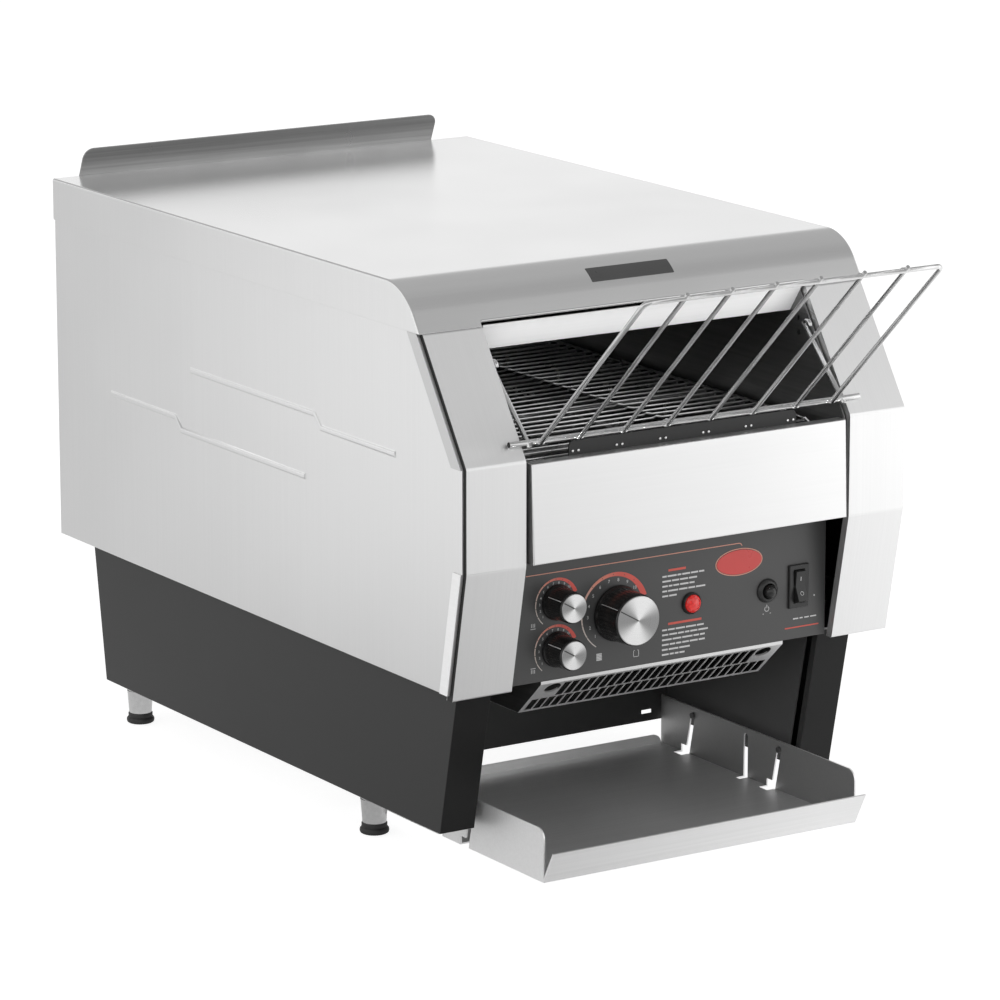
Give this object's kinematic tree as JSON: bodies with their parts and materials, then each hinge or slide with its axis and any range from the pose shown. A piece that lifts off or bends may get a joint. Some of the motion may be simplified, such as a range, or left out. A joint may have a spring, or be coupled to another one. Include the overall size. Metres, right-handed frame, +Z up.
{
  "type": "conveyor toaster",
  "caption": "Counter-top conveyor toaster: a wire rack feeds bread onto a belt between heaters, and toast slides down a chute into a front tray.",
  "frame": {"origin": "centre of the bounding box, at the height of the foot pads' undersides on the counter", "axes": "+Z up, -Y towards the user and the rack, +X to the right seen from the front"},
  "size_m": [0.368, 0.6978, 0.4325],
  "materials": {
    "casing_steel": "fine brushed",
    "dark_steel": "heat-darkened",
    "black_paint": "satin",
    "black_enamel": "satin",
    "wire_chrome": "bright",
    "belt_steel": "bright wire",
    "heater_sheath": "heat-tinted",
    "ceramic": "glazed",
    "shaft_steel": "turned",
    "sprocket_steel": "machined",
    "bronze": "sintered",
    "motor_paint": "satin",
    "black_plastic": "matt",
    "knob_plastic": "semi-gloss",
    "red_lens": "clear",
    "face_aluminium": "spun",
    "grey_plastic": "matt",
    "pad_rubber": "matt"
  },
  "bodies": {
    "housing": {"top_cover": "casing_steel", "rear_deflector": "dark_steel", "side_panel_left": "casing_steel", "side_panel_right": "casing_steel", "corner_trim_left": "casing_steel", "corner_trim_right": "casing_steel", "opening_strip": "casing_steel", "front_panel": "casing_steel", "guard_strip": "black_enamel", "inner_plate_left": "dark_steel", "inner_plate_right": "dark_steel", "chassis_pan": "casing_steel", "rear_panel": "casing_steel", "rear_guide": "casing_steel", "discharge_chute": "casing_steel", "tunnel_roof": "dark_steel", "upper_heaters": "heater_sheath", "lower_heaters": "heater_sheath", "heater_bushes": "ceramic", "shaft_bearings": "bronze", "conveyor_belt": "belt_steel", "belt_rails": "belt_steel", "gear_motor": "motor_paint", "motor_bracket": "casing_steel", "drive_chain": "sprocket_steel", "fan_frame": "black_plastic", "control_panel": "black_paint", "control_box": "casing_steel", "regulators": "grey_plastic", "indicator_bezel": "black_plastic", "indicator_lens": "red_lens", "button_bezel": "black_plastic", "switch_bezel": "black_plastic", "grille_box": "dark_steel", "base_side_left": "black_paint", "base_side_right": "black_paint", "base_liners": "black_paint", "base_cross_panel": "black_paint", "base_rear_panel": "black_paint", "feet": "casing_steel", "foot_pads": "pad_rubber", "power_inlet": "black_plastic", "screws": "shaft_steel"},
    "rack": {"loading_rack": "wire_chrome"},
    "tray": {"collector_tray": "casing_steel"},
    "knob_upper": {"knob_upper": "knob_plastic", "knob_upper_face": "face_aluminium"},
    "knob_lower": {"knob_lower": "knob_plastic", "knob_lower_face": "face_aluminium"},
    "knob_main": {"knob_main": "knob_plastic", "knob_main_face": "face_aluminium"},
    "button": {"push_button": "black_plastic"},
    "rocker": {"rocker_switch": "black_plastic"},
    "drive": {"drive_shaft": "shaft_steel", "drive_sprockets": "sprocket_steel", "chain_sprocket": "sprocket_steel"},
    "idler": {"front_shaft": "shaft_steel", "front_sprockets": "sprocket_steel"},
    "motor_output": {"motor_sprocket": "sprocket_steel"},
    "fan": {"fan_rotor": "black_plastic"}
  },
  "joints": [
    {"name": "rack_swing", "type": "hinge", "parent": "housing", "child": "rack", "pos_m": [0, -0.17661, 0.354], "axis": [-1, 0, 0], "range_deg": [0, 75]},
    {"name": "tray_lift", "type": "slide", "parent": "housing", "child": "tray", "axis": [0, -0.2183, 0.9759], "range_m": [0, 0.024]},
    {"name": "knob_upper_turn", "type": "hinge", "parent": "housing", "child": "knob_upper", "pos_m": [-0.093, -0.20111, 0.19], "axis": [0, 1, 0], "range_deg": [0, 270]},
    {"name": "knob_lower_turn", "type": "hinge", "parent": "housing", "child": "knob_lower", "pos_m": [-0.093, -0.20111, 0.157], "axis": [0, 1, 0], "range_deg": [0, 270]},
    {"name": "knob_main_turn", "type": "hinge", "parent": "housing", "child": "knob_main", "pos_m": [-0.0432, -0.20111, 0.1753], "axis": [0, 1, 0], "range_deg": [0, 270]},
    {"name": "button_press", "type": "slide", "parent": "housing", "child": "button", "axis": [0, 1, 0], "range_m": [0, 0.003], "stiffness_N_per_m": 300},
    {"name": "rocker_rock", "type": "hinge", "parent": "housing", "child": "rocker", "pos_m": [0.109, -0.20211, 0.1738], "axis": [1, 0, 0], "range_deg": [0, 18]},
    {"name": "drive_spin", "type": "hinge", "parent": "housing", "child": "drive", "pos_m": [0, 0.2439, 0.266], "axis": [-1, 0, 0], "continuous": true},
    {"name": "idler_spin", "type": "hinge", "parent": "housing", "child": "idler", "pos_m": [0, -0.1821, 0.266], "axis": [-1, 0, 0], "continuous": true},
    {"name": "motor_spin", "type": "hinge", "parent": "housing", "child": "motor_output", "pos_m": [0.1472, 0.1539, 0.225], "axis": [-1, 0, 0], "continuous": true},
    {"name": "fan_spin", "type": "hinge", "parent": "housing", "child": "fan", "pos_m": [0.088, 0.3337, 0.196], "axis": [0, 1, 0], "continuous": true}
  ],
  "couplings": [
    {"joint": "idler_spin", "follows": "drive_spin", "ratio": 1},
    {"joint": "motor_spin", "follows": "drive_spin", "ratio": 2}
  ]
}
